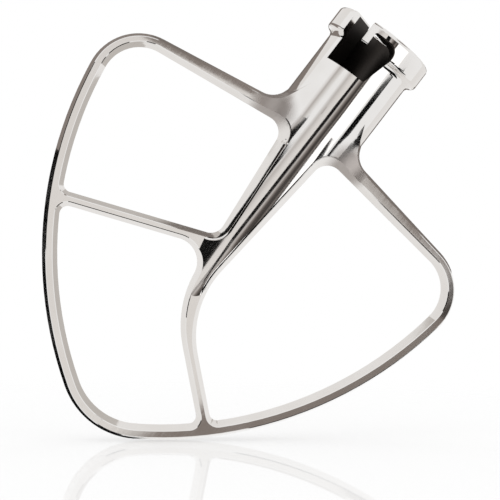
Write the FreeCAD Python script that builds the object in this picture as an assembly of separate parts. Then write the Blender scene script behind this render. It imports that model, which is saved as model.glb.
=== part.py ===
import FreeCAD
import Part
import math
import os

V = FreeCAD.Vector

# Driving dimensions: millimetres and degrees, Z up along the drive shaft, front towards -Y
overall_width = 138.2
overall_length = 151.6
plate_thickness = 12.4
draft_angle = 12.5

# Hub and its drive socket
shaft_diameter = 12.7
shaft_clearance = 0.15
socket_depth = 42.0
socket_lead_in = 0.4
collar_diameter = 33.8
collar_land = 6.6
collar_edge_radius = 1.2
neck_diameter = 29.2
neck_fillet = 2.2

# Pin slot: the pin drops in, turns to the front and springs up into its seat
pin_slot_width = 7.5
pin_turn_angle = 36.0
pin_seat_width = 8.8
pin_seat_top = 2.5
pin_seat_radius = 3.4
window_top = 7.2
window_bottom = 17.0
window_slant = 2.6
window_corner_radius = 1.0
seat_lip_radius = 0.8

# Rim
bar_width = 4.9
arm_slope = 9.6
arm_apex = 33.3
arm_root_width = 6.6
arm_taper = 2.2
corner_radius = 17.0
side_radius = 125.0
tip_radius = 25.0
shoulder_radius = 7.0
shoulder_lean = 20.0
shoulder_rise = 8.0

# Stem, which leans back from the neck into the plate
stem_top_level = 45.0
stem_top_width = 16.0
stem_side_angle = 5.7
crown_start = 31.0
crown_end = 100.0
crown_bend = 60.0
gusset_radius = 20.0
gusset_sink = 0.12

# Cross rib to the left and curved rib to the lower right
cross_rib_width = 4.4
cross_rib_angle = 21.1
cross_rib_level = 81.7
low_rib_width = 4.3
low_rib_angle = 41.5
low_rib_level = 105.3
bend_radius_inner = 30.0
bend_radius_outer = 34.0

# Corner radii of the openings
arm_stem_radius = 5.2
cross_stem_radius_up = 4.5
cross_stem_radius_down = 7.5
cross_rim_radius = 2.6
low_rib_rim_radius = 2.4

# Softened edges
front_edge_chamfer = 0.2
crown_edge_radius = 1.0
parting_edge_radius = 1.5

# How far a cutting shape runs past what it cuts, and how closely points count as level
overshoot = 3.0
level_tolerance = 0.0001

# Sizes that follow
half_width = overall_width / 2
half_plate = plate_thickness / 2
draft = math.tan(math.radians(draft_angle))
bore_radius = shaft_diameter / 2 + shaft_clearance
collar_radius = collar_diameter / 2
neck_radius = neck_diameter / 2
draft_depth = neck_radius + overshoot


class Line:
    """A straight boundary of an outline in the XZ plane, with the inside on its left."""

    def __init__(self, through, angle):
        self.through = through
        self.angle = angle
        self.along = V(math.cos(math.radians(angle)), 0, math.sin(math.radians(angle)))

    def inset(self, by):
        return Line(self.through + V(-self.along.z, 0, self.along.x) * by, self.angle)

    def foot(self, point):
        return self.through + self.along * (point - self.through).dot(self.along)

    def edge(self, start, end):
        return Part.makeLine(start, end)


class Round:
    """A circular boundary; the inside lies within it, or around it when the radius is negative."""

    def __init__(self, centre, radius):
        self.centre = centre
        self.radius = radius

    def inset(self, by):
        return Round(self.centre, self.radius - by)

    def foot(self, point):
        return self.centre + (point - self.centre).normalize() * abs(self.radius)

    def edge(self, start, end):
        first = math.atan2(start.z - self.centre.z, start.x - self.centre.x)
        last = math.atan2(end.z - self.centre.z, end.x - self.centre.x)
        turn = math.tau if self.radius > 0 else -math.tau
        half_turned = first + (last - first) % turn / 2
        arm = V(math.cos(half_turned), 0, math.sin(half_turned)) * abs(self.radius)
        return Part.Arc(start, self.centre + arm, end).toShape()


def crossing(one, other, near):
    """The point where two boundaries cross, the one nearest to a given point."""
    if isinstance(one, Line) and isinstance(other, Line):
        gap = other.through - one.through
        cross = one.along.x * other.along.z - one.along.z * other.along.x
        return one.through + one.along * ((gap.x * other.along.z - gap.z * other.along.x) / cross)
    if isinstance(one, Round) and isinstance(other, Line):
        return crossing(other, one, near)
    if isinstance(one, Line):
        between = one.foot(other.centre)
        step = one.along * math.sqrt(other.radius ** 2 - (between - other.centre).Length ** 2)
    else:
        apart = other.centre - one.centre
        span = (one.radius ** 2 - other.radius ** 2 + apart.Length ** 2) / (2 * apart.Length)
        unit = V(apart).normalize()
        between = one.centre + unit * span
        step = V(-unit.z, 0, unit.x) * math.sqrt(one.radius ** 2 - span ** 2)
    return min((between + step, between - step), key=lambda point: (point - near).Length)


def outline(boundaries, corners, growth):
    """A closed wire along the boundaries, moved out by growth, with a (radius, near) for each corner.

    Radius 0 leaves a corner sharp, and None marks a line that runs into the next round without a corner.
    """
    count = len(boundaries)
    grown = [b.inset(-growth) for b in boundaries]
    ends = []
    for i, (radius, near) in enumerate(corners):
        after = (i + 1) % count
        if radius is None:
            meet = grown[i].foot(boundaries[after].centre)
            ends.append((meet, meet, None))
        elif radius == 0:
            meet = crossing(grown[i], grown[after], near)
            ends.append((meet, meet, None))
        else:
            centre = crossing(boundaries[i].inset(radius), boundaries[after].inset(radius), near)
            ends.append((grown[i].foot(centre), grown[after].foot(centre), Round(centre, radius + growth)))
    edges = []
    for i in range(count):
        edges.append(grown[i].edge(ends[i - 1][1], ends[i][0]))
        if ends[i][2] is not None:
            edges.append(ends[i][2].edge(ends[i][0], ends[i][1]))
    return Part.Wire(edges)


def drafted(boundaries, corners, slope):
    """A solid from just behind the middle plane to the front, growing by slope as it comes forward."""
    back = outline(boundaries, corners, -overshoot * slope)
    back.translate(V(0, overshoot, 0))
    front = outline(boundaries, corners, draft_depth * slope)
    front.translate(V(0, -draft_depth, 0))
    return Part.makeLoft([back, front], True, True)


# Boundaries of the rim, taken counter-clockwise as seen from the front
corner_centre_x = half_width - corner_radius
corner_centre_z = -arm_apex - corner_centre_x * math.tan(math.radians(arm_slope))
corner_centre_z -= corner_radius / math.cos(math.radians(arm_slope))
tip_centre = V(0, 0, -overall_length + tip_radius)
side_centre = crossing(
    Round(V(corner_centre_x, 0, corner_centre_z), side_radius - corner_radius),
    Round(tip_centre, side_radius - tip_radius),
    V(-half_width, 0, 0),
)
side_right = Round(side_centre, side_radius)
side_left = Round(V(-side_centre.x, 0, side_centre.z), side_radius)
arm_right = Line(V(0, 0, -arm_apex), 180 - arm_slope)
arm_left = Line(V(0, 0, -arm_apex), 180 + arm_slope)
under_right = Line(V(0, 0, -arm_apex - arm_root_width), 180 - arm_slope + arm_taper)
under_left = Line(V(0, 0, -arm_apex - arm_root_width), 180 + arm_slope - arm_taper)
rim_corner_right = V(half_width, 0, corner_centre_z)
rim_corner_left = V(-half_width, 0, corner_centre_z)
tip = V(0, 0, -overall_length)

# Outer outline, with the shoulders that lead from the arms up into the neck
shoulder_right = Line(V(neck_radius, 0, -crown_start), 90 + shoulder_lean)
shoulder_left = Line(V(-neck_radius, 0, -crown_start), -90 - shoulder_lean)
shoulder_top = shoulder_rise - crown_start
inside_neck = Line(V(0, 0, shoulder_top), 180)
rim_boundaries = [side_right, arm_right, shoulder_right, inside_neck, shoulder_left, arm_left, side_left]
rim_corners = [
    (corner_radius, rim_corner_right),
    (-shoulder_radius, None),
    (0, None),
    (0, None),
    (-shoulder_radius, None),
    (corner_radius, rim_corner_left),
    (tip_radius, tip),
]

# Boundaries of the stem and the two ribs
stem_half = stem_top_width / 2
stem_right = Line(V(stem_half, 0, -stem_top_level), 270 - stem_side_angle)
stem_left = Line(V(-stem_half, 0, -stem_top_level), 90 + stem_side_angle)
cross_middle = Line(V(0, 0, -cross_rib_level), cross_rib_angle)
cross_top = cross_middle.inset(cross_rib_width / 2)
low_middle = Line(V(0, 0, -low_rib_level), -low_rib_angle)
low_top = low_middle.inset(low_rib_width / 2)


def reverse(line):
    """The same line with its inside on the other hand."""
    return Line(line.through, line.angle + 180)


cross_bottom = reverse(cross_middle.inset(-cross_rib_width / 2))
low_bottom = reverse(low_middle.inset(-low_rib_width / 2))
cross_rim = V(-half_width, 0, -cross_rib_level - half_width * math.tan(math.radians(cross_rib_angle)))
low_rim = V(half_width / 2, 0, -low_rib_level - half_width / 2 * math.tan(math.radians(low_rib_angle)))

bend_centre = crossing(low_bottom.inset(-bend_radius_outer), stem_left.inset(-bend_radius_outer), None)
bend = Round(bend_centre, -bend_radius_outer)
stem_foot = V(0, 0, -cross_rib_level)

inner_right = side_right.inset(bar_width)
inner_left = side_left.inset(bar_width)
inner_corner_radius = corner_radius - bar_width
openings = [
    (
        [under_left, inner_left, cross_top, stem_left],
        [
            (inner_corner_radius, rim_corner_left),
            (cross_rim_radius, cross_rim),
            (cross_stem_radius_up, None),
            (arm_stem_radius, None),
        ],
    ),
    (
        [cross_bottom, inner_left, inner_right, low_bottom, bend],
        [
            (cross_rim_radius, cross_rim),
            (tip_radius - bar_width, tip),
            (low_rib_rim_radius, low_rim),
            (None, None),
            (cross_stem_radius_down, stem_foot),
        ],
    ),
    (
        [low_top, inner_right, under_right, stem_right],
        [
            (low_rib_rim_radius, low_rim),
            (inner_corner_radius, rim_corner_right),
            (arm_stem_radius, None),
            (bend_radius_inner, None),
        ],
    ),
]

# Front half of the plate, thickened towards the neck by a gusset on each arm
plate = Part.makeBox(
    overall_width + 2 * overshoot,
    half_plate,
    overall_length,
    V(-half_width - overshoot, -half_plate, -overall_length - overshoot),
)
crown_fall = (neck_radius - half_plate) / (crown_end - crown_start)


def mirrored(point):
    """The same point on the other side of the shaft."""
    return V(-point.x, point.y, point.z)


def gusset_section(level):
    """The plate with a hollow curve on each side that rises to the crown, at this level below the collar."""
    crown_back = max(0, level - crown_start) * crown_fall
    centre_y = -half_plate - gusset_radius
    apart = neck_radius - gusset_sink + gusset_radius
    centre = V(math.sqrt(apart ** 2 - (centre_y - crown_back) ** 2), centre_y, -level)
    inward = (V(0, crown_back, -level) - centre).normalize()
    meet = centre + inward * gusset_radius
    halfway = centre + (inward + V(0, 1, 0)).normalize() * gusset_radius
    foot = centre + V(0, gusset_radius, 0)
    back = V(foot.x, 0, -level)
    return Part.Wire(
        [
            Part.makeLine(mirrored(back), mirrored(foot)),
            Part.Arc(mirrored(foot), mirrored(halfway), mirrored(meet)).toShape(),
            Part.makeLine(mirrored(meet), meet),
            Part.Arc(meet, halfway, foot).toShape(),
            Part.makeLine(foot, back),
            Part.makeLine(back, mirrored(back)),
        ]
    )


gusset_levels = (-shoulder_top, crown_start, stem_top_level)
gusset = Part.makeLoft([gusset_section(level) for level in gusset_levels], True, True)
rim = drafted(rim_boundaries, rim_corners, -draft)


def pierced(solid):
    """The solid with the three openings cut through it."""
    for boundaries, corners in openings:
        solid = solid.cut(drafted(boundaries, corners, draft))
    return solid.removeSplitter()


def both_sides(solid):
    """The front half joined to its image behind the middle plane."""
    return solid.fuse(solid.mirror(V(0, 0, 0), V(0, 1, 0))).removeSplitter()


def midpoint(edge):
    """The point half way along an edge."""
    return edge.valueAt((edge.FirstParameter + edge.LastParameter) / 2)


def flush(edge, depth):
    """True for an edge that lies this far in front of or behind the middle plane, below the neck."""
    points = [midpoint(edge)] + [vertex.Point for vertex in edge.Vertexes]
    level = all(abs(abs(point.y) - depth) < level_tolerance for point in points)
    return level and midpoint(edge).z < shoulder_top - level_tolerance


flat = both_sides(pierced(plate.common(rim))).Solids[0]
flat = flat.makeChamfer(front_edge_chamfer, [edge for edge in flat.Edges if flush(edge, half_plate)])

# Crown: the neck's round front carried down the stem, leaning back until it sinks into the plate
lean = math.atan(crown_fall)
bend_tangent = crown_bend * math.tan(lean / 2)
bend_start = V(0, 0, -crown_start + bend_tangent)
bend_end = V(0, math.sin(lean), -math.cos(lean)) * bend_tangent + V(0, 0, -crown_start)
lean_centre = bend_start + V(0, crown_bend, 0)
bend_middle = lean_centre + V(0, -math.cos(lean / 2), -math.sin(lean / 2)) * crown_bend
skirt_turn = math.acos(1 - (collar_radius - neck_radius) / (collar_edge_radius + neck_fillet))
neck_top = collar_land + (collar_edge_radius + neck_fillet) * math.sin(skirt_turn)
crown_foot = V(0, math.sin(lean), -math.cos(lean)) * ((crown_end + overshoot - crown_start) / math.cos(lean))
crown_path = Part.Wire(
    [
        Part.makeLine(V(0, 0, -neck_top), bend_start),
        Part.Arc(bend_start, bend_middle, bend_end).toShape(),
        Part.makeLine(bend_end, crown_foot + V(0, 0, -crown_start)),
    ]
)
neck_ring = Part.Wire([Part.makeCircle(neck_radius, V(0, 0, -neck_top), V(0, 0, -1))])
crown = crown_path.makePipeShell([neck_ring], True, False)
front_space = Part.makeBox(
    4 * neck_radius, 2 * neck_radius, overall_length, V(-2 * neck_radius, -2 * neck_radius, -overall_length)
)
stem = pierced(crown.common(front_space)).Solids[0]


def on_crown_edge(edge):
    """True for the long edges where the crown meets the sides of the stem."""
    point = midpoint(edge)
    along_stem = -cross_rib_level < point.z < -stem_top_level
    return along_stem and point.y < -half_plate and edge.Length > neck_radius


stem = stem.makeFillet(crown_edge_radius, [edge for edge in stem.Edges if on_crown_edge(edge)])
stem = both_sides(stem.fuse(pierced(gusset.common(rim))))
body = flat.fuse(stem).removeSplitter().Solids[0]
body = body.makeFillet(parting_edge_radius, [edge for edge in body.Edges if flush(edge, 0)])

# Collar with rounded edges, running into the neck by a hollow curve
skirt = V(math.cos(skirt_turn), 0, -math.sin(skirt_turn))
skirt_half = V(math.cos(skirt_turn / 2), 0, -math.sin(skirt_turn / 2))
edge_centre = V(collar_radius - collar_edge_radius, 0, -collar_land)
hollow_centre = V(neck_radius + neck_fillet, 0, -neck_top)
top_centre = V(collar_radius - collar_edge_radius, 0, -collar_edge_radius)
slant = V(1, 0, 1).normalize()
collar_edges = [
    Part.makeLine(V(0, 0, 0), top_centre + V(0, 0, collar_edge_radius)),
    Part.Arc(
        top_centre + V(0, 0, collar_edge_radius),
        top_centre + slant * collar_edge_radius,
        top_centre + V(collar_edge_radius, 0, 0),
    ).toShape(),
    Part.makeLine(top_centre + V(collar_edge_radius, 0, 0), edge_centre + V(collar_edge_radius, 0, 0)),
    Part.Arc(
        edge_centre + V(collar_edge_radius, 0, 0),
        edge_centre + skirt_half * collar_edge_radius,
        edge_centre + skirt * collar_edge_radius,
    ).toShape(),
    Part.Arc(
        edge_centre + skirt * collar_edge_radius,
        hollow_centre - skirt_half * neck_fillet,
        V(neck_radius, 0, -neck_top),
    ).toShape(),
    Part.makeLine(V(neck_radius, 0, -neck_top), V(0, 0, -neck_top)),
    Part.makeLine(V(0, 0, -neck_top), V(0, 0, 0)),
]
collar = Part.Face(Part.Wire(collar_edges)).revolve(V(0, 0, 0), V(0, 0, 1), 360)
body = body.fuse(collar).removeSplitter()

# Drive socket
socket = Part.makeCylinder(bore_radius, socket_depth, V(0, 0, -socket_depth))
lead_in = Part.makeCone(bore_radius, bore_radius + socket_lead_in, socket_lead_in, V(0, 0, -socket_lead_in))
body = body.cut(socket).cut(lead_in)

# Pin slot
reach = collar_diameter
slot_half = pin_slot_width / 2
entry = Part.makeBox(pin_slot_width, reach, window_bottom + overshoot, V(-slot_half, -reach, -window_bottom))
entry.rotate(V(0, 0, 0), V(0, 0, 1), -pin_turn_angle)
seat_half = pin_seat_width / 2
seat_right = Line(V(seat_half, 0, -window_top), 90)
seat_top = Line(V(0, 0, -pin_seat_top), 180)
seat_left = Line(V(-seat_half, 0, -window_top), 270)
window_floor = Line(V(0, 0, -window_bottom), 0)
window_slope = math.degrees(math.atan2(window_bottom - window_top, window_slant))
window_right = Line(V(seat_half, 0, -window_top), window_slope)
seat = outline(
    [window_floor, window_right, seat_right, seat_top, seat_left],
    [(window_corner_radius, None), (0, None), (pin_seat_radius, None), (seat_lip_radius, None), (0, None)],
    0,
)
seat = Part.Face(seat).extrude(V(0, -reach, 0))
turn = math.radians(pin_turn_angle)
entry_out = V(-math.sin(turn), -math.cos(turn), 0)
entry_left = V(-math.cos(turn), math.sin(turn), 0) * slot_half
turning_space = Part.makePolygon(
    [
        V(0, 0, -window_bottom),
        entry_left + V(0, 0, -window_bottom),
        entry_left + entry_out * reach + V(0, 0, -window_bottom),
        V(0, -reach, -window_bottom),
        V(0, 0, -window_bottom),
    ]
)
turning_space = Part.Face(turning_space).extrude(V(0, 0, window_bottom - window_top))
body = body.cut(entry).cut(seat).cut(turning_space).removeSplitter()

os.makedirs("parts", exist_ok=True)
body.exportStep("parts/flat_beater.step")
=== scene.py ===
import math

import bpy
from mathutils import Matrix, Vector

MM = 0.001

# Photograph: where its frame lies on the beater and how it is turned
FRAME_CENTRE = Vector((6.57, 0.0, -78.52)) * MM
FRAME_WIDTH = 156.7 * MM
PHOTO_ROLL = math.radians(37.5)

# Camera: distance from the plate, and the way it looks past the frame's middle
CAMERA_DISTANCE = 560.0 * MM
CAMERA_YAW = math.radians(2.0)
CAMERA_PITCH = math.radians(1.5)
FRAME_OFFSET = 24.0 * MM
SENSOR_WIDTH = 36.0

# Pin slot and socket: the surfaces inside the neck, which are bored and left unpolished, with shade painted
# dark into them
BORED_RADIUS = 13.9 * MM
BORED_TOP = -0.5 * MM
BORED_BOTTOM = -20.0 * MM
SOCKET_RADIUS = 7.0 * MM
SOCKET_BOTTOM = -42.5 * MM

# Hollows between the neck and the arms, which the polishing wheel hardly reaches, so they are rougher, with
# shade painted darker into them
HOLLOW_SIDE = 15.0 * MM
HOLLOW_LEVEL = -39.5 * MM
HOLLOW_INNER = 3.5 * MM
HOLLOW_OUTER = 8.5 * MM

# Steel: tints and roughness of its polished, hollow and bored surfaces; the hollow and bored tints are
# painted shade
STEEL_DARK = (0.775, 0.755, 0.735)
STEEL_LIGHT = (0.815, 0.80, 0.785)
HOLLOW_PAINTED_SHADE = (0.42, 0.385, 0.365)
HOLLOW_ROUGHNESS = 0.3
SOCKET_PAINTED_SHADE = (0.045, 0.040, 0.037)
BORED_ROUGHNESS = 0.38

# Polishing lines, which run the stem's way, and broader patches of tint and roughness
LINE_STRETCH = (1.0, 1.0, 0.06)
LINE_SCALE = 1400.0
LINE_DETAIL = 3.0
LINE_ROUGHNESS = (0.02, 0.06)
LINE_STRENGTH = 0.04
LINE_DEPTH = 0.008 * MM
PATCH_STRETCH = (1.0, 1.0, 1.0)
PATCH_SCALE = 90.0
PATCH_DETAIL = 2.0
PATCH_ROUGHNESS = (0.01, 0.05)

# The range that most values of a noise lie in
NOISE_LOW = 0.3
NOISE_HIGH = 0.7

# Floor: how far it reaches, the share of that where it starts to fade, and how much of it is plain white
FLOOR_REACH = 260.0 * MM
FLOOR_FADE = 0.45
FLOOR_WHITE = 0.38
FLOOR_ROUGHNESS = 0.03

# Share along Y of the rays that each part of the beater sends to the studio cards
ALL_RAYS = (0.0, 1.0)
WALL_RAYS = (0.0, 0.955)
RIM_RAYS = (0.904, 1.0)
FRONT_RAYS = (0.96, 1.0)
STEM_RAYS = (0.0, 0.9785)
STEM_WALL_RAYS = (0.2, 0.91)

# Planes that the studio cards lie in or close to, and how far the level ones reach, in millimetres
FRONT = -560
NEAR = -60
MIDDLE = 0
BACK = 150
SIDE = 400
FAR_SIDE = 900
LEVEL_HEIGHT = 330
LEVEL_REACH = 120

# Colours of the studio, and the strength of its bright cards
WHITE = (1.0, 1.0, 1.0)
BEIGE = (0.86, 0.835, 0.81)
BROWN = (0.26, 0.225, 0.205)
BLACK = (0.004, 0.004, 0.004)
BRIGHT_STRENGTH = 1.4

# Colours of bands that several graded cards share, from light to dark
BAND_LIGHT = (0.6, 0.57, 0.55)
BAND_BROWN = (0.32, 0.29, 0.27)
BAND_UMBER = (0.15, 0.13, 0.12)
BAND_DARK = (0.04, 0.035, 0.032)

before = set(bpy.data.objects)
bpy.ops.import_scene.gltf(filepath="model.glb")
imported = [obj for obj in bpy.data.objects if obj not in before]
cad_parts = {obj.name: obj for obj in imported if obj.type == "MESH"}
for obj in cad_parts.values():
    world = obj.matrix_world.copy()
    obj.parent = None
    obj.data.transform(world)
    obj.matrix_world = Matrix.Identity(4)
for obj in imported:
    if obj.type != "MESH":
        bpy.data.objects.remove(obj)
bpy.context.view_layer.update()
scene = bpy.context.scene
scene.view_settings.view_transform = "Standard"
upright = Vector((-math.sin(PHOTO_ROLL), 0, math.cos(PHOTO_ROLL)))


def link(obj):
    """Adds an object to the scene."""
    scene.collection.objects.link(obj)
    return obj


def math_node(tree, operation, first, second=0.0):
    """A math node on one or two inputs, each a socket or a number."""
    node = tree.nodes.new("ShaderNodeMath")
    node.operation = operation
    for socket, value in zip(node.inputs, (first, second)):
        if isinstance(value, (int, float)):
            socket.default_value = value
        else:
            tree.links.new(value, socket)
    return node.outputs["Value"]


def socket_shade_and_rough_mask(tree, position):
    """1 on the bored surfaces inside the neck, where shade is painted dark and the steel is rougher, 0 on
    the polished outside.
    """
    split = tree.nodes.new("ShaderNodeSeparateXYZ")
    tree.links.new(position, split.inputs["Vector"])
    across = math_node(tree, "MULTIPLY", split.outputs["X"], split.outputs["X"])
    along = math_node(tree, "MULTIPLY", split.outputs["Y"], split.outputs["Y"])
    radius = math_node(tree, "SQRT", math_node(tree, "ADD", across, along))
    below_top = math_node(tree, "LESS_THAN", split.outputs["Z"], BORED_TOP)
    above_floor = math_node(tree, "GREATER_THAN", split.outputs["Z"], BORED_BOTTOM)
    in_window = math_node(tree, "MULTIPLY", below_top, above_floor)
    in_window = math_node(tree, "MULTIPLY", in_window, math_node(tree, "LESS_THAN", radius, BORED_RADIUS))
    above_end = math_node(tree, "GREATER_THAN", split.outputs["Z"], SOCKET_BOTTOM)
    in_socket = math_node(tree, "MULTIPLY", below_top, above_end)
    in_socket = math_node(tree, "MULTIPLY", in_socket, math_node(tree, "LESS_THAN", radius, SOCKET_RADIUS))
    return math_node(tree, "MAXIMUM", in_window, in_socket)


def hollow_shade_and_dull_mask(tree, position):
    """1 in the middle of the hollows beside the neck, where shade is painted darker and the steel is
    rougher, fading to 0 around them.
    """
    split = tree.nodes.new("ShaderNodeSeparateXYZ")
    tree.links.new(position, split.inputs["Vector"])
    across = math_node(tree, "SUBTRACT", math_node(tree, "ABSOLUTE", split.outputs["X"]), HOLLOW_SIDE)
    along = math_node(tree, "SUBTRACT", split.outputs["Z"], HOLLOW_LEVEL)
    across = math_node(tree, "MULTIPLY", across, across)
    along = math_node(tree, "MULTIPLY", along, along)
    fade = tree.nodes.new("ShaderNodeMapRange")
    fade.interpolation_type = "SMOOTHSTEP"
    fade.inputs["From Min"].default_value = HOLLOW_OUTER
    fade.inputs["From Max"].default_value = HOLLOW_INNER
    tree.links.new(math_node(tree, "SQRT", math_node(tree, "ADD", across, along)), fade.inputs["Value"])
    return fade.outputs["Result"]


def noise(tree, position, stretch, scale, detail):
    """Noise in the object's own coordinates, stretched along its axes."""
    mapping = tree.nodes.new("ShaderNodeMapping")
    mapping.inputs["Scale"].default_value = stretch
    tree.links.new(position, mapping.inputs["Vector"])
    texture = tree.nodes.new("ShaderNodeTexNoise")
    texture.inputs["Scale"].default_value = scale
    texture.inputs["Detail"].default_value = detail
    tree.links.new(mapping.outputs["Vector"], texture.inputs["Vector"])
    return texture.outputs["Fac"]


def spread(tree, value, low, high):
    """Noise carried over to the range from low to high."""
    node = tree.nodes.new("ShaderNodeMapRange")
    node.inputs["From Min"].default_value = NOISE_LOW
    node.inputs["From Max"].default_value = NOISE_HIGH
    node.inputs["To Min"].default_value = low
    node.inputs["To Max"].default_value = high
    tree.links.new(value, node.inputs["Value"])
    return node.outputs["Result"]


def blend(tree, mask, outside, inside):
    """A value mixed by a mask with a fixed one."""
    node = tree.nodes.new("ShaderNodeMix")
    node.data_type = "FLOAT"
    tree.links.new(mask, node.inputs["Factor"])
    tree.links.new(outside, node.inputs["A"])
    node.inputs["B"].default_value = inside
    return node.outputs["Result"]


def with_painted_shade(tree, mask, outside, inside):
    """A colour mixed by a mask with a fixed one, which here is painted shade."""
    node = tree.nodes.new("ShaderNodeMix")
    node.data_type = "RGBA"
    tree.links.new(mask, node.inputs["Factor"])
    # A mix node's colour sockets share their names with others, so they are picked by number
    tree.links.new(outside, node.inputs[6])
    node.inputs[7].default_value = (*inside, 1)
    return node.outputs[2]


def polished_steel():
    """Mirror polished steel with fine polishing lines, rougher in the hollows and where it is bored, with
    shade painted darker into both.
    """
    material = bpy.data.materials.new("polished_steel")
    material.use_nodes = True
    tree = material.node_tree
    shader = tree.nodes["Principled BSDF"]
    shader.inputs["Metallic"].default_value = 1.0
    position = tree.nodes.new("ShaderNodeTexCoord").outputs["Object"]
    # Masks of the socket inside the neck and of the hollows beside it, where shade is painted darker and
    # the steel is rougher
    socket_shade_and_rough = socket_shade_and_rough_mask(tree, position)
    hollow_shade_and_dull = hollow_shade_and_dull_mask(tree, position)
    lines = noise(tree, position, LINE_STRETCH, LINE_SCALE, LINE_DETAIL)
    patches = noise(tree, position, PATCH_STRETCH, PATCH_SCALE, PATCH_DETAIL)

    tint = tree.nodes.new("ShaderNodeValToRGB")
    tint.color_ramp.elements[0].position = NOISE_LOW
    tint.color_ramp.elements[0].color = (*STEEL_DARK, 1)
    tint.color_ramp.elements[1].position = NOISE_HIGH
    tint.color_ramp.elements[1].color = (*STEEL_LIGHT, 1)
    tree.links.new(patches, tint.inputs["Fac"])
    # Painted shade: the hollows beside the neck and the socket inside it are darkened, as if in shadow
    colour = with_painted_shade(tree, hollow_shade_and_dull, tint.outputs["Color"], HOLLOW_PAINTED_SHADE)
    colour = with_painted_shade(tree, socket_shade_and_rough, colour, SOCKET_PAINTED_SHADE)
    tree.links.new(colour, shader.inputs["Base Color"])

    from_lines = spread(tree, lines, *LINE_ROUGHNESS)
    from_patches = spread(tree, patches, *PATCH_ROUGHNESS)
    roughness = math_node(tree, "ADD", from_lines, from_patches)
    roughness = blend(tree, hollow_shade_and_dull, roughness, HOLLOW_ROUGHNESS)
    roughness = blend(tree, socket_shade_and_rough, roughness, BORED_ROUGHNESS)
    tree.links.new(roughness, shader.inputs["Roughness"])

    bump = tree.nodes.new("ShaderNodeBump")
    bump.inputs["Strength"].default_value = LINE_STRENGTH
    bump.inputs["Distance"].default_value = LINE_DEPTH
    tree.links.new(lines, bump.inputs["Height"])
    tree.links.new(bump.outputs["Normal"], shader.inputs["Normal"])
    return material


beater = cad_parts["flat_beater"]
beater.material_slots[0].material = polished_steel()


def glow(name, colour, strength=1.0, slant=ALL_RAYS, from_front=False):
    """A studio card's surface, shining to rays of this slant along Y, both ways or only from the front."""
    material = bpy.data.materials.new(name)
    material.use_nodes = True
    tree = material.node_tree
    tree.nodes.clear()
    emission = tree.nodes.new("ShaderNodeEmission")
    emission.inputs["Color"].default_value = (*colour, 1)
    emission.inputs["Strength"].default_value = strength
    split = tree.nodes.new("ShaderNodeSeparateXYZ")
    tree.links.new(tree.nodes.new("ShaderNodeNewGeometry").outputs["Incoming"], split.inputs["Vector"])
    if from_front:
        share = math_node(tree, "MULTIPLY", split.outputs["Y"], -1.0)
    else:
        share = math_node(tree, "ABSOLUTE", split.outputs["Y"])
    least, most = slant
    below = math_node(tree, "LESS_THAN", share, least)
    above = math_node(tree, "GREATER_THAN", share, most)
    mix = tree.nodes.new("ShaderNodeMixShader")
    tree.links.new(math_node(tree, "MAXIMUM", below, above), mix.inputs["Fac"])
    tree.links.new(emission.outputs["Emission"], mix.inputs[1])
    tree.links.new(tree.nodes.new("ShaderNodeBsdfTransparent").outputs["BSDF"], mix.inputs[2])
    output = tree.nodes.new("ShaderNodeOutputMaterial")
    tree.links.new(mix.outputs["Shader"], output.inputs["Surface"])
    return material


def graded_glow(name, stops, slant=ALL_RAYS):
    """A studio card's surface whose colour changes along X, through stops in millimetres."""
    material = glow(name, WHITE, slant=slant)
    tree = material.node_tree
    split = tree.nodes.new("ShaderNodeSeparateXYZ")
    tree.links.new(tree.nodes.new("ShaderNodeTexCoord").outputs["Object"], split.inputs["Vector"])
    first = stops[0][0]
    last = stops[-1][0]
    along = tree.nodes.new("ShaderNodeMapRange")
    along.inputs["From Min"].default_value = first * MM
    along.inputs["From Max"].default_value = last * MM
    tree.links.new(split.outputs["X"], along.inputs["Value"])
    ramp = tree.nodes.new("ShaderNodeValToRGB")
    elements = ramp.color_ramp.elements
    while len(elements) < len(stops):
        elements.new(0.5)
    for element, (place, colour) in zip(elements, stops):
        element.position = (place - first) / (last - first)
        element.color = (*colour, 1)
    tree.links.new(along.outputs["Result"], ramp.inputs["Fac"])
    tree.links.new(ramp.outputs["Color"], tree.nodes["Emission"].inputs["Color"])
    return material


def card(name, corners, material):
    """A flat studio card with these corners, in millimetres, seen only in glossy surfaces."""
    mesh = bpy.data.meshes.new(name)
    mesh.from_pydata([Vector(corner) * MM for corner in corners], [], [tuple(range(len(corners)))])
    mesh.materials.append(material)
    obj = link(bpy.data.objects.new(name, mesh))
    obj.visible_camera = False
    obj.visible_diffuse = False
    obj.visible_shadow = False
    return obj


def facing_card(name, depth, outline, material):
    """A card parallel to the beater's plate, given by its outline in X and Z."""
    return card(name, [(x, depth, z) for x, z in outline], material)


def side_card(name, side, outline, material):
    """An upright card beside the beater, at this X, given by its outline in Y and Z."""
    return card(name, [(side, y, z) for y, z in outline], material)


def level_card(name, height, span, material):
    """A level card above or below the beater, between two X."""
    low, high = span
    corners = [(low, -LEVEL_REACH), (high, -LEVEL_REACH), (high, LEVEL_REACH), (low, LEVEL_REACH)]
    return card(name, [(x, y, height) for x, y in corners], material)


# Surfaces of one colour
black = glow("black_card", BLACK)
rim_black = glow("rim_black_card", BLACK, slant=RIM_RAYS)
stem_black = glow("stem_black_card", BLACK, slant=STEM_WALL_RAYS, from_front=True)
tail_black = glow("tail_black_card", BLACK, slant=STEM_RAYS)
arm_brown = glow("arm_brown_card", BROWN, slant=FRONT_RAYS)
brown = glow("brown_card", BROWN)
grey = glow("grey_card", (0.58, 0.55, 0.52), slant=WALL_RAYS)
umber = glow("umber_card", (0.19, 0.165, 0.15))
pale = glow("pale_card", (0.9, 0.885, 0.87), slant=WALL_RAYS)
bright = glow("bright_card", WHITE, BRIGHT_STRENGTH)
stem_bright = glow("stem_bright_card", WHITE, BRIGHT_STRENGTH, STEM_RAYS)

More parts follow.
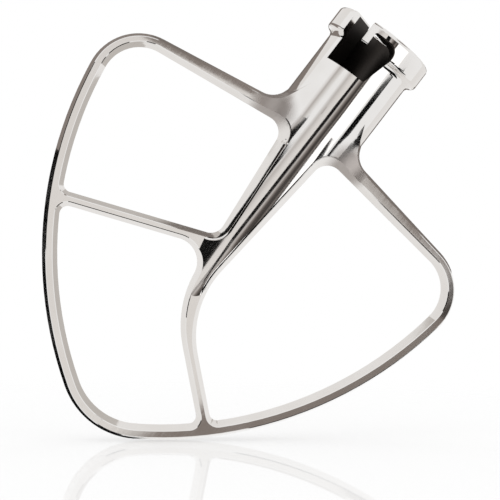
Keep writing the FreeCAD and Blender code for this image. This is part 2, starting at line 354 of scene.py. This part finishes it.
# Graded surfaces
dusk = graded_glow(
    "dusk_card",
    [
        (50, BROWN),
        (185, BROWN),
        (235, (0.045, 0.04, 0.037)),
        (290, BAND_UMBER),
        (330, (0.085, 0.075, 0.07)),
        (370, (0.4, 0.37, 0.35)),
    ],
)
stem_stripes = [
    (30, (0.3, 0.28, 0.27)),
    (72, BAND_LIGHT),
    (105, BAND_BROWN),
    (140, BAND_UMBER),
    (178, BAND_DARK),
    (202, (0.11, 0.1, 0.09)),
    (222, (0.24, 0.21, 0.195)),
    (246, (0.09, 0.08, 0.073)),
    (275, (0.07, 0.062, 0.057)),
]
stem_dusk = graded_glow("stem_dusk_card", stem_stripes, STEM_RAYS)
neck_dusk = graded_glow("neck_dusk_card", stem_stripes)
stem_band = graded_glow(
    "stem_band_card",
    [
        (3.6, (0.4, 0.38, 0.37)),
        (6.3, BAND_LIGHT),
        (9, BAND_BROWN),
        (12, BAND_UMBER),
        (15.5, BAND_DARK),
    ],
)
dawn = graded_glow(
    "dawn_card",
    [
        (-1000, WHITE),
        (-780, (0.85, 0.83, 0.82)),
        (-660, (0.52, 0.49, 0.47)),
        (-540, (0.76, 0.74, 0.72)),
        (-400, WHITE),
        (-280, WHITE),
        (-190, BAND_LIGHT),
        (-110, (0.8, 0.775, 0.755)),
        (-70, BEIGE),
        (130, BEIGE),
    ],
)

# In front, about the camera
facing_card("front_dark", FRONT, [(50, -222), (370, -500), (370, 260), (125, 260), (160, -20)], dusk)
facing_card("right_arm_band", FRONT - 2, [(60, 16), (170, -4), (170, 40), (60, 40)], arm_brown)
facing_card(
    "front_low_black",
    FRONT - 3,
    [(-900, -420), (-100, -420), (-100, -235), (-204, -188), (-258, -150), (-258, -138), (-900, -138)],
    black,
)
facing_card("front_bright", FRONT - 4, [(370, -500), (800, -500), (800, 300), (370, 300)], bright)
facing_card("front_left", FRONT - 6, [(-1000, -500), (130, -500), (130, 400), (-1000, 400)], dawn)
facing_card("stem_dusk", FRONT + 2, [(30, -500), (275, -500), (275, -25), (30, -25)], stem_dusk)
facing_card("stem_bright", FRONT + 2, [(275, -500), (800, -500), (800, -25), (275, -25)], stem_bright)
facing_card("neck_dusk", FRONT + 2, [(160, -25), (275, -25), (275, 260), (160, 260)], neck_dusk)
facing_card("neck_bright", FRONT + 2, [(275, -25), (800, -25), (800, 260), (275, 260)], bright)

# Close in front of the left arm and the stem
facing_card("left_arm_band", NEAR, [(-15, -33.8), (-64, -42.1), (-64, -28), (-15, -27)], arm_brown)
facing_card("stem_band", NEAR + 1, [(4.2, 10), (4.2, -93), (15.5, -93), (15.5, 10)], stem_band)
facing_card("stem_strip", NEAR, [(-2.6, 10), (-2.6, -85), (-2.2, -90), (4.4, -90), (4.4, 10)], black)
facing_card(
    "stem_tail",
    NEAR,
    [(-2.2, -90), (3.4, -103), (6.7, -108), (13.8, -113.5), (9.2, -108), (7.3, -103), (4.4, -90)],
    tail_black,
)

# In the opening left of the stem
facing_card(
    "left_of_stem",
    MIDDLE,
    [
        (-10.9, -46),
        (-9.1, -61.9),
        (-6.4, -77.4),
        (-6.2, -79),
        (-9, -80),
        (-30, -72),
        (-30, -55),
        (-13, -50),
        (-13, -46),
    ],
    stem_black,
)

# To the sides
side_card(
    "right_strip",
    FAR_SIDE,
    [(-520, -500), (-520, 138), (-250, 138), (-250, -10), (-430, -140), (-450, -500)],
    black,
)
side_card("right_low_black", SIDE, [(-480, -400), (-480, -92), (-20, -92), (-20, -400)], black)
side_card("left_low_black", -SIDE, [(-560, -400), (-560, -95), (150, -95), (150, -400)], black)

# Behind the plate
facing_card(
    "back_low_black",
    BACK,
    [
        (-500, -400),
        (80, -400),
        (80, -178),
        (20, -188),
        (-30, -190),
        (-75, -160),
        (-80, -120),
        (-80, -93),
        (-95, -93),
        (-140, -125),
        (-500, -125),
    ],
    rim_black,
)
facing_card(
    "back_left",
    BACK + 1,
    [(-500, -130), (-105, -130), (-105, -25), (-80, -2), (-80, 15), (-110, 15), (-500, -20)],
    brown,
)
facing_card("back_top", BACK + 2, [(-85, 15), (85, 15), (85, 70), (-85, 70)], brown)
facing_card("back_neck", BACK + 2, [(-100, -18), (100, -18), (100, 15), (-100, 15)], umber)
facing_card("back_middle", BACK + 3, [(-15, -125), (55, -125), (55, -40), (-15, -40)], grey)
facing_card("back_rib", BACK + 4, [(-92, -48), (-35, -28), (-35, -5), (-92, -25)], grey)
facing_card("back_wall", BACK + 8, [(-400, -350), (400, -350), (400, 200), (-400, 200)], pale)

# Straight below, for the lower edges
level_card("below", -LEVEL_HEIGHT, (24, 95), black)

# Straight above, for the upper edges of the arms
level_card("above_left", LEVEL_HEIGHT, (-160, -70), brown)
level_card("above_right", LEVEL_HEIGHT, (70, 160), brown)


def floor_material():
    """A glossy white floor that fades out around the beater and is open from below."""
    material = bpy.data.materials.new("white_floor")
    material.use_nodes = True
    tree = material.node_tree
    shader = tree.nodes["Principled BSDF"]
    shader.inputs["Base Color"].default_value = (*WHITE, 1)
    shader.inputs["Roughness"].default_value = FLOOR_ROUGHNESS
    distance = tree.nodes.new("ShaderNodeVectorMath")
    distance.operation = "LENGTH"
    tree.links.new(tree.nodes.new("ShaderNodeTexCoord").outputs["Object"], distance.inputs[0])
    fade = tree.nodes.new("ShaderNodeMapRange")
    fade.interpolation_type = "SMOOTHSTEP"
    fade.inputs["From Min"].default_value = FLOOR_FADE * FLOOR_REACH
    fade.inputs["From Max"].default_value = FLOOR_REACH
    tree.links.new(distance.outputs["Value"], fade.inputs["Value"])
    behind = tree.nodes.new("ShaderNodeNewGeometry").outputs["Backfacing"]
    open_part = math_node(tree, "MAXIMUM", fade.outputs["Result"], behind)
    whitened = tree.nodes.new("ShaderNodeMixShader")
    whitened.inputs["Fac"].default_value = FLOOR_WHITE
    tree.links.new(shader.outputs["BSDF"], whitened.inputs[1])
    tree.links.new(tree.nodes.new("ShaderNodeEmission").outputs["Emission"], whitened.inputs[2])
    mix = tree.nodes.new("ShaderNodeMixShader")
    tree.links.new(open_part, mix.inputs["Fac"])
    tree.links.new(whitened.outputs["Shader"], mix.inputs[1])
    tree.links.new(tree.nodes.new("ShaderNodeBsdfTransparent").outputs["BSDF"], mix.inputs[2])
    tree.links.new(mix.outputs["Shader"], tree.nodes["Material Output"].inputs["Surface"])
    return material


def floor():
    """The floor under the rim's lowest point, level in the photograph."""
    mesh = bpy.data.meshes.new("floor")
    corners = [(-1, -1, 0), (1, -1, 0), (1, 1, 0), (-1, 1, 0)]
    mesh.from_pydata([Vector(corner) * FLOOR_REACH for corner in corners], [], [(0, 1, 2, 3)])
    mesh.materials.append(floor_material())
    obj = link(bpy.data.objects.new("floor", mesh))
    obj.visible_glossy = False
    along = Vector((math.cos(PHOTO_ROLL), 0, math.sin(PHOTO_ROLL)))
    lowest = min((vertex.co for vertex in beater.data.vertices), key=upright.dot)
    obj.matrix_world = Matrix.Translation(lowest) @ Matrix(
        (along, upright.cross(along), upright)
    ).transposed().to_4x4()


floor()

# World: white for the eye and for the steel
world = bpy.data.worlds.new("studio")
scene.world = world
world.use_nodes = True
background = world.node_tree.nodes["Background"]
background.inputs["Color"].default_value = (*WHITE, 1)
background.inputs["Strength"].default_value = 1.0

# Camera
forward = Vector(
    (
        math.sin(CAMERA_YAW) * math.cos(CAMERA_PITCH),
        math.cos(CAMERA_YAW) * math.cos(CAMERA_PITCH),
        math.sin(CAMERA_PITCH),
    )
)
right = forward.cross(upright).normalized()
up = right.cross(forward)
aim = FRAME_CENTRE - Vector((FRAME_OFFSET, 0, 0))
camera_data = bpy.data.cameras.new("camera")
camera = link(bpy.data.objects.new("camera", camera_data))
camera.matrix_world = Matrix.Translation(aim - forward * CAMERA_DISTANCE) @ Matrix(
    (right, up, -forward)
).transposed().to_4x4()
camera_data.sensor_width = SENSOR_WIDTH
camera_data.lens = SENSOR_WIDTH * CAMERA_DISTANCE / FRAME_WIDTH
camera_data.shift_x = FRAME_OFFSET * math.cos(PHOTO_ROLL) / FRAME_WIDTH
camera_data.shift_y = -FRAME_OFFSET * math.sin(PHOTO_ROLL) / FRAME_WIDTH
scene.camera = camera
